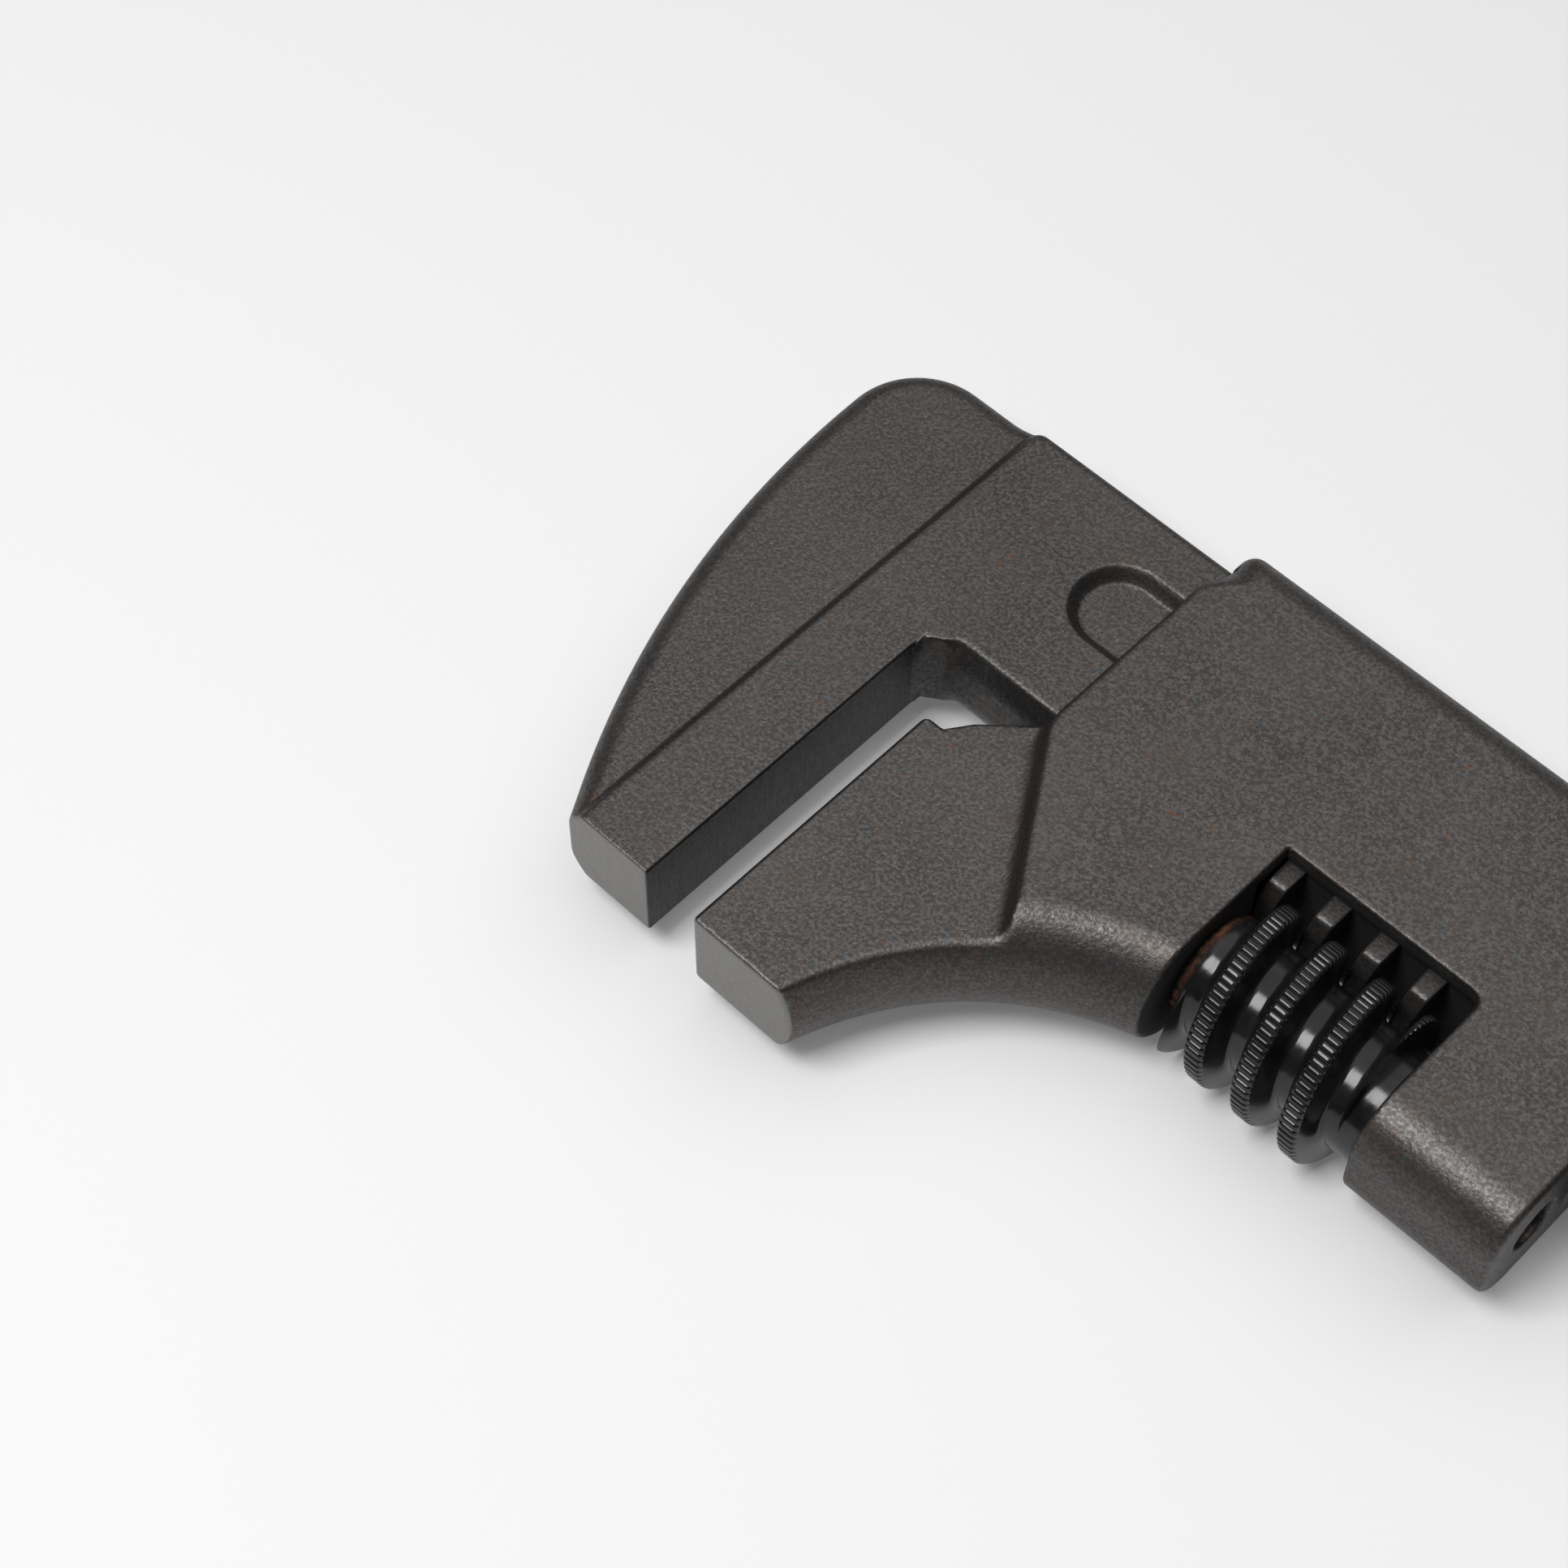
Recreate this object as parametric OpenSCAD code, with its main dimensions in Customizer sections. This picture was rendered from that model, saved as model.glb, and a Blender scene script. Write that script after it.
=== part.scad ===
// Adjustable wrench, auto pattern: two jaws square to the handle, worm-driven sliding jaw.
//
// Working frame: X runs along the handle towards its end, Y runs from the jaw tips to the
// shank's outer edge, and Z is the thickness, with Z = 0 on the middle plane. X = 0, Y = 0 is
// the corner where the shank's inner edge enters the mouth. place() moves everything to the
// published frame: origin at the bottom centre of the whole wrench's box.

/* [Jaws] */
// Opening between the two grip faces, as shown
jaw_opening = 7.7; // [1:0.1:30]
// Thickness of both jaws and of the shank
jaw_t = 12.4; // [10:0.1:14]
// Depth of the jaws, from the shank's inner edge to the sliding jaw's tip
jaw_depth = 45.6; // [40:0.1:50]
// Depth that the sliding arm keeps at full thickness, from grip face to crease
arm_w = 10.3; // [8:0.1:12]
// Distance from the grip face to the outermost point of the curved wing
wing_w = 31; // [28:0.1:34]
// How far each side of the wing lies under the arm's face
wing_step = 0.6; // [0.2:0.1:1.5]
// Radius of the wing's long outer curve
wing_r = 125; // [110:1:140]
// Radius of the wing's upper corner
wing_corner_r = 10.5; // [8:0.5:14]
// Radius in the corner between the sliding grip face and the shank
throat_r = 3.1; // [1:0.1:5]
// How far the fixed grip face stands in front of the mouth corner
fixed_grip = 10.1; // [8:0.1:12]
// Width of the fixed jaw at its tip
fixed_tip_w = 13.8; // [11:0.1:16]

/* [Shank and rack] */
// Width of the sliding jaw's shank
shank_w = 30.6; // [28:0.1:32]
// Where the shank ends inside the body, measured from the mouth corner
shank_end = 99; // [92:0.5:100]
// Pitch of the rack, and lead of the worm that drives it
pitch = 6.5; // [6:0.1:7]
// Depth of the rack's grooves
rack_depth = 5; // [3.2:0.1:5.2]
// Width of a rack groove at its mouth
groove_w = 4.1; // [4:0.05:4.3]
// Depth of the long sunk panel in each side of the shank
panel_depth = 1.8; // [1:0.1:2.5]
// Width of that panel
panel_w = 12.8; // [10:0.1:14]

/* [Body] */
// Thickness of the head
body_t = 17.4; // [16.6:0.1:19]
// Wall between the shank's pocket and the head's outer edge
top_wall = 3.8; // [3:0.1:5]
// Width of the window that holds the knurl
window_w = 26.7; // [26.2:0.1:27.4]
// Where the window starts, measured from the mouth corner
window_x = 31; // [30.6:0.1:31.2]
// How far the window opens past the shank's inner edge
window_top = 4.5; // [3.5:0.1:5.5]
// Length of the barrel behind the window
barrel_len = 18.5; // [16:0.5:22]
// Radius of the barrel's long edges
barrel_edge_r = 6.2; // [4:0.1:7]
// Radius of the head's upper edges
top_edge_r = 5; // [3:0.1:6]
// Radius of the curve under the fixed jaw
under_r = 40.8; // [38:0.1:44]
// Radius of the crowned face under the fixed jaw
crown_r = 9.2; // [9:0.1:12]

/* [Handle] */
// Overall length from the mouth corner to the handle's end
handle_end = 238.9; // [220:0.1:260]
// Thickness of the handle
handle_t = 14.4; // [12:0.1:16]
// Width of the handle at its waist
waist_w = 24; // [20:0.5:28]
// Width of the rounded end
end_w = 30; // [26:0.5:34]
// Radius of the hole to hang the wrench by
hang_r = 5; // [3:0.1:6]
// Rim left around the handle's sunk panels
rim = 4.6; // [3.5:0.1:6]
// Depth of the handle's sunk panels
handle_panel = 3; // [1:0.1:4]

/* [Knurl and axle] */
// Outer radius of the knurl's thread
knurl_r = 10.7; // [10.5:0.05:10.8]
// Radius of the knurl's core, under the thread
core_r = 7.2; // [7:0.1:7.8]
// Width of the thread's crest
crest_w = 2.2; // [1.8:0.1:2.4]
// Radius of the axle screw
axle_r = 3.2; // [2.5:0.1:3.6]
// Radial clearance of the knurl on the axle
axle_play = 0.06; // [0.02:0.01:0.1]

/* [Hidden] */
$fn = 96;
eps = 0.01;
past = 1;                          // cuts run this far past the face they open
iron = [0.27, 0.26, 0.25];
black = [0.12, 0.12, 0.12];
steel = [0.4, 0.39, 0.38];

// Jaws
grip_x = -fixed_grip;
arm_x = grip_x - jaw_opening;      // the sliding grip face
crease_x = arm_x - arm_w;
wing_x = arm_x - wing_w;           // the outermost point of the wrench
wing_mid_y = shank_w - wing_corner_r;
tip_lead = 0.4;                    // the fixed jaw's tip reaches this far past the other
fixed_tip_y = -jaw_depth - tip_lead;
edge_bevel = 1.3;                  // bevel along the shank's inner edge, in Y
edge_bevel_z = 2.8;                // and in Z
panel_from = 13.6;                 // the shank's panel, from the grip face
panel_to = 14;                     // and to the shank's end
panel_y = 17.3;

// Knurl
mid_y = -8.45;                     // the knurl's axis
flank = 14.5;
window_end = window_x + window_w;
core_x0 = window_x + 0.5;
core_x1 = window_end - 0.3;
hub_len = 1.8;                     // plain hub before the thread starts
end_hub_len = 2.2;                 // and past its end
thread_x0 = core_x0 + hub_len;
thread_x1 = core_x1 - end_hub_len;
core_bevel = 0.8;
rack_start = 39.83;                // from the sliding grip face to the rack's first groove
first_groove_x = arm_x + rack_start;
thread_phase_x = first_groove_x + pitch / 4;  // crest centre on the +Z side of the knurl
groove_tilt = atan(pitch / (2 * PI * (knurl_r - 0.5)));
groove_count = floor((shank_end - first_groove_x + groove_w / 2 + 1) / pitch) + 1;

// Body
play_y = 0.2;                      // the shank's play in its pocket, at each side
play_z = 0.15;
slide_room = 9.2;                  // room past the shank's end for closing the jaws
top_y = shank_w + play_y + top_wall;
mouth_x = 1;
pocket_end = shank_end + slide_room;
barrel_end = window_end + barrel_len;
barrel_y = -16.7;
heel_y = -2.4;                     // lower edge of the head behind the barrel
heel_edge_r = 6.5;                 // and the radius of its long edges
ridge_y = -1;
below_y = -27.3;                   // lowest line of the blank, cut away by the curve below
front_x = 18;                      // where the ridge meets that line
web_x = window_x - 5;              // back of the fixed jaw's root, inside the head
web_top = -15;
web_low = -30;
// Root of the fixed grip face, measured from the face: its end, a small step, and a relief
grip_root = [[0, -9.8], [0.9, -9], [2.5, -9.1], [4.6, -6.1]];
root_end_x = 0.1;
under_c = [43.5, -58.4];           // centre of the curve under the fixed jaw
axle_bury = 9.5;                   // the axle's length in the body in front of the window
axle_recess = 4.2;                 // its slotted end lies this far inside the barrel
axle_x0 = window_x - axle_bury;
axle_x1 = barrel_end - axle_recess;
axle_fit = 0.05;
axle_hole_r = axle_r + axle_fit;
hole_spare = 0.5;                  // the hole is this much deeper than the axle

// Handle
mid_handle_y = (top_y + heel_y) / 2;
head_half = (top_y - heel_y) / 2;
neck_len = 22;
flare_len = 70;
panel_lead = 2;                    // the sunk panels start this far past the neck
panel_stop = 22;                   // and stop this far before the hang hole's centre
neck_x0 = pocket_end + 1;
neck_x1 = neck_x0 + neck_len;
flare_x0 = handle_end - flare_len;
end_x = handle_end - end_w / 2;    // centre of the rounded end, and of the hang hole
panel_x0 = neck_x1 + panel_lead;
panel_x1 = end_x - panel_stop;

// Published frame
box_x = (wing_x + handle_end) / 2;
box_y = (fixed_tip_y + top_y) / 2;

module place() {
    translate([-box_x, -box_y, knurl_r]) children();
}

// A block centred on the middle plane
module slab(x0, x1, y0, y1, t) {
    translate([x0, y0, -t / 2]) cube([x1 - x0, y1 - y0, t]);
}

// A plan outline given the thickness t
module plate(t) {
    translate([0, 0, -t / 2]) linear_extrude(height = t) children();
}

// A stadium in plan: a slot with round ends of radius r
module slot_plan(x0, x1, y, r) {
    translate([x0, y]) circle(r = r);
    translate([x1, y]) circle(r = r);
    translate([x0, y - r]) square([x1 - x0, 2 * r]);
}

// Cutter that rounds one long edge of a block: the edge runs along X at y, z
module edge_cut(x0, x1, y, z, r, sy, sz) {
    translate([x0, y, z]) mirror([0, sy < 0 ? 1 : 0, 0]) mirror([0, 0, sz < 0 ? 1 : 0])
        rotate([90, 0, 90]) linear_extrude(height = x1 - x0) difference() {
            translate([-r, -r]) square(r + past);
            translate([-r, -r]) circle(r = r);
        }
}

module edge_cuts(x0, x1, y, half_t, r, sy) {
    edge_cut(x0, x1, y, half_t, r, sy, 1);
    edge_cut(x0, x1, y, -half_t, r, sy, -1);
}

// ---- Sliding jaw ----

module wing_plan() {
    intersection() {
        translate([wing_x + wing_r, wing_mid_y]) circle(r = wing_r, $fn = 240);
        translate([wing_x - past, -jaw_depth]) square([wing_w, jaw_depth + wing_mid_y]);
    }
    translate([wing_x + wing_corner_r, wing_mid_y]) circle(r = wing_corner_r);
    translate([wing_x + wing_corner_r, 0]) square([wing_w - wing_corner_r, shank_w]);
}

module arm_plan() {
    translate([crease_x, -jaw_depth]) square([arm_w, jaw_depth + shank_w]);
    translate([arm_x - eps, 0]) square([shank_end - arm_x, shank_w]);
    difference() {
        translate([arm_x - eps, -throat_r]) square([throat_r + eps, throat_r + eps]);
        translate([arm_x + throat_r, -throat_r]) circle(r = throat_r);
    }
}

// One rack groove, tapered in plan and leaning with the worm's helix
module groove(x) {
    taper = 0.1;
    translate([x, 0, 0]) rotate([0, groove_tilt, 0]) plate(2 * jaw_t)
        polygon([[-groove_w / 2, -past], [-groove_w / 2 + taper, rack_depth],
                 [groove_w / 2 - taper, rack_depth], [groove_w / 2, -past]]);
}

// Bevel along the shank's inner edge, on the side sz
module shank_bevel(sz) {
    mirror([0, 0, sz < 0 ? 1 : 0]) translate([arm_x + throat_r + 1, 0, jaw_t / 2])
        rotate([90, 0, 90]) linear_extrude(height = shank_end - arm_x)
            polygon([[-past, past], [edge_bevel, 0], [0, -edge_bevel_z], [-past, -edge_bevel_z]]);
}

module shank_panel(sz) {
    translate([0, 0, sz * (jaw_t / 2 - panel_depth / 2 + past / 2)])
        plate(panel_depth + past)
            slot_plan(arm_x + panel_from, shank_end - panel_to, panel_y, panel_w / 2);
}

module sliding_jaw() {
    color(iron) place() difference() {
        union() {
            plate(jaw_t - 2 * wing_step) wing_plan();
            plate(jaw_t) arm_plan();
        }
        for (i = [0 : groove_count - 1]) groove(first_groove_x + i * pitch);
        for (sz = [-1, 1]) {
            shank_bevel(sz);
            shank_panel(sz);
        }
    }
}

// ---- Body ----

// Half width of the handle at x: head, neck, waist, flare
function ease(t) = t <= 0 ? 0 : t >= 1 ? 1 : t * t * (3 - 2 * t);
function mix(a, b, t) = a + (b - a) * ease(t);
function half_w(x) = x < flare_x0
    ? mix(head_half, waist_w / 2, (x - neck_x0) / (neck_x1 - neck_x0))
    : mix(waist_w / 2, end_w / 2, (x - flare_x0) / (end_x - flare_x0));

module handle_plan(x0, x1, inset) {
    steps = 48;
    xs = [for (i = [0 : steps]) x0 + (x1 - x0) * i / steps];
    polygon(concat(
        [for (x = xs) [x, mid_handle_y + half_w(x) - inset]],
        [for (i = [steps : -1 : 0]) [xs[i], mid_handle_y - half_w(xs[i]) + inset]]));
}

module handle_panel_plan() {
    handle_plan(panel_x0, panel_x1, rim);
    for (x = [panel_x0, panel_x1]) translate([x, mid_handle_y]) circle(r = half_w(x) - rim);
}

module handle() {
    difference() {
        plate(handle_t) {
            handle_plan(neck_x0 - 1, end_x, 0);
            translate([end_x, mid_handle_y]) circle(r = end_w / 2);
        }
        for (sz = [-1, 1])
            translate([0, 0, sz * (handle_t / 2 - handle_panel / 2 + past / 2)])
                plate(handle_panel + past) handle_panel_plan();
        translate([end_x, mid_handle_y, -handle_t]) cylinder(r = hang_r, h = 2 * handle_t);
    }
}

// Plan of the fixed jaw: grip face, relief at its root, and a tip
module fixed_jaw_plan() {
    polygon(concat(
        [[grip_x, fixed_tip_y]],
        [for (p = grip_root) [grip_x + p[0], p[1]]],
        [[root_end_x, ridge_y], [mouth_x + 2, ridge_y], [web_x, web_top], [web_x, web_low],
         [grip_x + fixed_tip_w, fixed_tip_y]]));
}

// Plan of the full-thickness head, up to the end of the shank's pocket
module head_plan() {
    polygon([
        [mouth_x, top_y], [mouth_x, ridge_y], [front_x, below_y], [window_end, below_y],
        [window_end, barrel_y], [barrel_end, barrel_y], [barrel_end, heel_y],
        [neck_x0, heel_y], [neck_x0, top_y]]);
}

// Removes what lies under the fixed jaw, leaving a crowned face
module under_cut() {
    translate([under_c[0], under_c[1], 0]) rotate_extrude($fn = 180) difference() {
        translate([0, -body_t]) square([under_r + crown_r, 2 * body_t]);
        translate([under_r + crown_r, 0]) circle(r = crown_r);
    }
}

module head_blank() {
    difference() {
        union() {
            plate(body_t) head_plan();
            plate(jaw_t) fixed_jaw_plan();
        }
        intersection() {
            under_cut();
            slab(grip_x - fixed_tip_w, window_x + past, fixed_tip_y - past, 0, 2 * body_t);
        }
        slab(window_x, window_end, below_y - past, window_top, 2 * body_t);
        edge_cuts(mouth_x - past, neck_x0 + past, top_y, body_t / 2, top_edge_r, 1);
        edge_cuts(window_end - past, barrel_end + past, barrel_y, body_t / 2, barrel_edge_r, -1);
        edge_cuts(barrel_end, neck_x0 + past, heel_y, body_t / 2, heel_edge_r, -1);
    }
}

module body() {
    color(iron) place() {
        difference() {
            union() {
                head_blank();
                handle();
            }
            slab(mouth_x - past, pocket_end, -play_y, shank_w + play_y, jaw_t + 2 * play_z);
            translate([axle_x0 - hole_spare, mid_y, 0]) rotate([0, 90, 0])
                cylinder(r = axle_hole_r, h = barrel_end + past - axle_x0);
        }
    }
}

// ---- Knurl ----

thread_base_r = core_r - 0.5;      // the thread's foot, sunk in the core
base_half = crest_w / 2 + (knurl_r - thread_base_r) * tan(flank);
ring_step = 7.5;                   // degrees between rings, so that rings lie on +Z and -Z
least_w = 0.05;                    // narrowest crest where an end face cuts the thread
ring_margin = 0.1;                 // the thread's two tips stop this far inside its end faces

function crest_x(angle) = thread_phase_x + pitch * angle / 360;
first_ring = ceil((thread_x0 - base_half + ring_margin - thread_phase_x)
                  / pitch * 360 / ring_step);
last_ring = floor((thread_x1 + base_half - ring_margin - thread_phase_x)
                  / pitch * 360 / ring_step);

// The thread's section at one angle, cut off square at the knurl's two ends:
// foot left, crest left, crest right, foot right
function ring(angle) = let(
    x = crest_x(angle),
    r = min(knurl_r, thread_base_r + (x + base_half - thread_x0) / tan(flank),
            thread_base_r + (thread_x1 - x + base_half) / tan(flank)),
    half = base_half - (r - thread_base_r) * tan(flank),
    left = min(max(thread_x0, x - half), thread_x1 - least_w),
    right = max(min(thread_x1, x + half), left + least_w),
    foot_left = max(thread_x0, x - base_half),
    foot_right = min(thread_x1, x + base_half))
    [for (p = [[foot_left, thread_base_r], [left, r], [right, r], [foot_right, thread_base_r]])
        [p[0], -p[1] * sin(angle), p[1] * cos(angle)]];

module thread() {
    rings = [for (i = [first_ring : last_ring]) ring(i * ring_step)];
    last = 4 * (len(rings) - 1);
    points = [for (r = rings) for (p = r) p];
    sides = [for (i = [0 : len(rings) - 2]) for (k = [0 : 3])
        let(a = 4 * i + k, b = 4 * i + (k + 1) % 4)
            for (f = [[a, b, b + 4], [a, b + 4, a + 4]]) f];
    ends = [[0, 2, 1], [0, 3, 2], [last, last + 1, last + 2], [last, last + 2, last + 3]];
    polyhedron(points = points, faces = concat(sides, ends), convexity = 10);
}

module knurl() {
    color(black) place() difference() {
        union() {
            translate([core_x0, mid_y, 0]) rotate([0, 90, 0])
                cylinder(r1 = core_r - core_bevel, r2 = core_r, h = core_bevel);
            translate([core_x0 + core_bevel, mid_y, 0]) rotate([0, 90, 0])
                cylinder(r = core_r, h = core_x1 - core_x0 - core_bevel);
            translate([0, mid_y, 0]) thread();
        }
        translate([core_x0 - past, mid_y, 0]) rotate([0, 90, 0])
            cylinder(r = axle_r + axle_play, h = core_x1 - core_x0 + 2 * past);
    }
}

// ---- Axle screw ----

module axle_screw() {
    slot_w = 1;
    slot_depth = 1.4;
    color(steel) place() difference() {
        translate([axle_x0, mid_y, 0]) rotate([0, 90, 0])
            cylinder(r = axle_r, h = axle_x1 - axle_x0);
        slab(axle_x1 - slot_depth, axle_x1 + past, mid_y - axle_r - past, mid_y + axle_r + past,
             slot_w);
    }
}

body();
sliding_jaw();
knurl();
axle_screw();
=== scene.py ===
"""Adjustable wrench, auto pattern: the visible forgings, the knurl and their finishes."""

from math import cos, pi, radians, sin, tan

import bmesh
import bpy
import numpy as np
from mathutils import Matrix, Vector


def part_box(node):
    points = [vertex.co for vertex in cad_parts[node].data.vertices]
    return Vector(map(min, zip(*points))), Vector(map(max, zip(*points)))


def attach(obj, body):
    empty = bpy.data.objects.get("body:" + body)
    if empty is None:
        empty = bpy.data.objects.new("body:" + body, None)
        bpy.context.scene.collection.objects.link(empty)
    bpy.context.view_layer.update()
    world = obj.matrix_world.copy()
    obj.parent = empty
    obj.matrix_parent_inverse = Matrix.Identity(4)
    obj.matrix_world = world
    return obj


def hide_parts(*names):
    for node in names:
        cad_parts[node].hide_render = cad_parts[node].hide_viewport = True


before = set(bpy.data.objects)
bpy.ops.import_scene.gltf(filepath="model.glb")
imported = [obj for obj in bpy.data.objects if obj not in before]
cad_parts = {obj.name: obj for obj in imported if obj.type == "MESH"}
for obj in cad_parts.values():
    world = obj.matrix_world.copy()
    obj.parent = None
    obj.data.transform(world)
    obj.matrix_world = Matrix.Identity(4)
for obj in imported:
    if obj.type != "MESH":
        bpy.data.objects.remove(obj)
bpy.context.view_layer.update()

MM = 0.001
PAINTED_SIDE_SHADE = 0.42         # painted shade on the forgings' sides, deepest where they turn away from Z

# ---------------------------------------------------------------------------
# Working frame, in millimetres: X along the handle, Y from the jaw tips to the
# shank's outer edge, Z through the thickness, with 0 at the corner where the
# shank enters the mouth, on the middle plane. ORIGIN is that corner in the
# row frame, found from the boxes of the parts.
# ---------------------------------------------------------------------------

BODY_LOW, BODY_HIGH = (np.array(corner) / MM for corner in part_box("body"))
JAW_LOW, JAW_HIGH = (np.array(corner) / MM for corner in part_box("sliding_jaw"))
KNURL_LOW, KNURL_HIGH = (np.array(corner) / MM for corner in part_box("knurl"))

SHANK_W = 30.6
TOP_Y = SHANK_W + 4.0
SHANK_END = 99.0
ORIGIN = np.array([JAW_HIGH[0] - SHANK_END, BODY_HIGH[1] - TOP_Y,
                   (KNURL_LOW[2] + KNURL_HIGH[2]) / 2])

WING_X = JAW_LOW[0] - ORIGIN[0]
HANDLE_END = BODY_HIGH[0] - ORIGIN[0]
FIXED_TIP_Y = BODY_LOW[1] - ORIGIN[1]
HEAD_T = (BODY_HIGH[2] - BODY_LOW[2]) / 2      # half thicknesses from here on
JAW_T = (JAW_HIGH[2] - JAW_LOW[2]) / 2
SLIDE_TIP_Y = JAW_LOW[1] - ORIGIN[1]

GRIP_X = -10.1
ARM_X = WING_X + 31.0
CREASE_X = ARM_X - 10.3
MOUTH_X = 1.0
WINDOW_X0 = 31.0
WINDOW_X1 = 57.7
WINDOW_TOP = 4.5
BARREL_Y = -16.7
BARREL_END = WINDOW_X1 + 18.6
HEEL_Y = -2.4
KNURL_Y = -8.45
PITCH = 6.5
GRIP_TOP = -9.8           # where the fixed grip face ends, towards the shank
THROAT_TOP = -3.1         # and where the sliding one does


# ---------------------------------------------------------------------------
# Fields. Each takes x, y, z and gives roughly the distance to a surface, in
# millimetres, negative inside. Solids are made by combining them.
# ---------------------------------------------------------------------------

def smooth_step(t):
    """0 below 0, 1 above 1, and 3t^2 - 2t^3 between."""
    t = np.clip(t, 0, 1)
    return t * t * (3 - 2 * t)


def blend_min(a, b, k):
    """Union whose inner corner is filled over a width k: the lesser, less a parabola."""
    return np.minimum(a, b) - np.maximum(k - np.abs(a - b), 0) ** 2 / (4 * k)


def blend_max(a, b, k):
    """Intersection whose outer corner is eased over a width k."""
    return -blend_min(-a, -b, k)


def round_max(a, b, r):
    """Intersection of two faces with a round edge of radius r between them."""
    return (np.minimum(np.maximum(a, b), -r)
            + np.hypot(np.maximum(a + r, 0), np.maximum(b + r, 0)))


def line_side(x, y, p, q):
    """Distance in plan to the left of the line from p to q."""
    dx, dy = q[0] - p[0], q[1] - p[1]
    return (dx * (y - p[1]) - dy * (x - p[0])) / np.hypot(dx, dy)


def stadium(x, y, x0, x1, yc, r):
    """Plan distance to a slot with round ends of radius r."""
    return np.hypot(x - np.clip(x, x0, x1), y - yc) - r


# ---------------------------------------------------------------------------
# A field's zero surface as a mesh
# ---------------------------------------------------------------------------

def nearest_surface(field, points, reach, steps=3):
    """Moves points onto the field's zero surface: each step goes against the slope by the
    field's value over the slope's size, and no point goes further than reach."""
    start = points.copy()
    for _ in range(steps):
        value, slope = field(*points.T), gradient(field, points)
        size = np.maximum((slope ** 2).sum(1), 0.05)
        points = points - (value / size)[:, None] * slope
        points = start + np.clip(points - start, -reach, reach)
    return points


def gradient(field, points, h=0.04):
    """Slope of the field at the points, by central differences over 2h."""
    axes = np.eye(3) * h
    return np.stack([(field(*(points + a).T) - field(*(points - a).T)) / (2 * h)
                     for a in axes], axis=1)


def surface_of(field, xs, ys, zs):
    """Vertices and quads of the zero surface of a field on the grid xs, ys, zs.

    One vertex goes in each cell that the surface crosses, at the mean of the crossings on the
    cell's edges, and one quad round each grid edge whose ends have unlike signs."""
    axes = (xs, ys, zs)
    shape = tuple(len(a) for a in axes)
    cells = tuple(n - 1 for n in shape)
    values = np.broadcast_to(field(xs[:, None, None], ys[None, :, None], zs[None, None, :]),
                             shape)
    inside = values < 0
    total = np.zeros((int(np.prod(cells)), 3))
    count = np.zeros(int(np.prod(cells)))
    rings, outward = [], []
    for axis in range(3):
        low = tuple(slice(0, -1) if a == axis else slice(None) for a in range(3))
        high = tuple(slice(1, None) if a == axis else slice(None) for a in range(3))
        at = np.stack(np.nonzero(inside[low] != inside[high]), axis=1)
        across = [(axis + 1) % 3, (axis + 2) % 3]
        keep = np.all([(at[:, a] > 0) & (at[:, a] < shape[a] - 1) for a in across], axis=0)
        at = at[keep]
        step = np.eye(3, dtype=int)[axis]
        v0, v1 = values[tuple(at.T)], values[tuple((at + step).T)]
        share = v0 / (v0 - v1)
        place = np.stack([axes[a][at[:, a]] for a in range(3)], axis=1)
        gap = axes[axis][at[:, axis] + 1] - axes[axis][at[:, axis]]
        place[:, axis] += share * gap
        ring = []
        for da, db in ((-1, -1), (0, -1), (0, 0), (-1, 0)):
            cell = at.copy()
            cell[:, across[0]] += da
            cell[:, across[1]] += db
            flat = np.ravel_multi_index(tuple(cell.T), cells)
            ring.append(flat)
            for a in range(3):
                total[:, a] += np.bincount(flat, place[:, a], len(total))
            count += np.bincount(flat, minlength=len(count))
        rings.append(np.stack(ring, axis=1))
        outward.append(v0 < 0)
    used = np.nonzero(count)[0]
    number = np.full(len(count), -1)
    number[used] = np.arange(len(used))
    points = total[used] / count[used][:, None]
    quads = number[np.concatenate(rings)]
    turned = ~np.concatenate(outward)
    quads[turned] = quads[turned][:, ::-1]
    return points, quads


def mesh_piece(name, points, faces, normals=None):
    """An object from points in working millimetres and equal-sided faces, smooth shaded."""
    mesh = bpy.data.meshes.new(name)
    place = (np.asarray(points) + ORIGIN) * MM
    sides = faces.shape[1]
    mesh.vertices.add(len(place))
    mesh.vertices.foreach_set("co", place.astype(np.float32).ravel())
    mesh.loops.add(faces.size)
    mesh.loops.foreach_set("vertex_index", faces.astype(np.int32).ravel())
    mesh.polygons.add(len(faces))
    mesh.polygons.foreach_set("loop_start", np.arange(0, faces.size, sides, dtype=np.int32))
    mesh.polygons.foreach_set("use_smooth", np.ones(len(faces), dtype=bool))
    mesh.update(calc_edges=True)
    mesh.validate()
    if normals is not None:
        mesh.normals_split_custom_set_from_vertices(normals.tolist())
    piece = bpy.data.objects.new(name, mesh)
    bpy.context.scene.collection.objects.link(piece)
    return piece


def field_piece(name, field, xs, ys, zs, reach, painted_shade):
    """A closed piece from a field, with its vertices on the surface and normals along the
    field's slope. The last function gives each point's share of painted shade, 0 to 1, and
    sides that face away from Z get painted shade as well, more the further they turn."""
    points, quads = surface_of(field, xs, ys, zs)
    points = nearest_surface(field, points, reach)
    slope = gradient(field, points)
    normals = slope / np.maximum(np.linalg.norm(slope, axis=1), 1e-6)[:, None]
    print(name, len(points), "points", len(quads), "quads")
    piece = mesh_piece(name, points, quads, normals)
    layer = piece.data.attributes.new("painted_shade", "FLOAT", "POINT")
    # painted shade: sides darken as their normals turn from Z, standing in for the light they miss
    painted_side_shade = PAINTED_SIDE_SHADE * smooth_step((0.93 - np.abs(normals[:, 2])) / 0.25)
    share = np.maximum(painted_shade(*points.T), painted_side_shade)
    layer.data.foreach_set("value", share.astype(np.float32))
    return piece


def spaced(low, high, step):
    """Evenly spaced values from low to high, no further apart than step."""
    return np.linspace(low, high, int(np.ceil((high - low) / step)) + 1)


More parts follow.
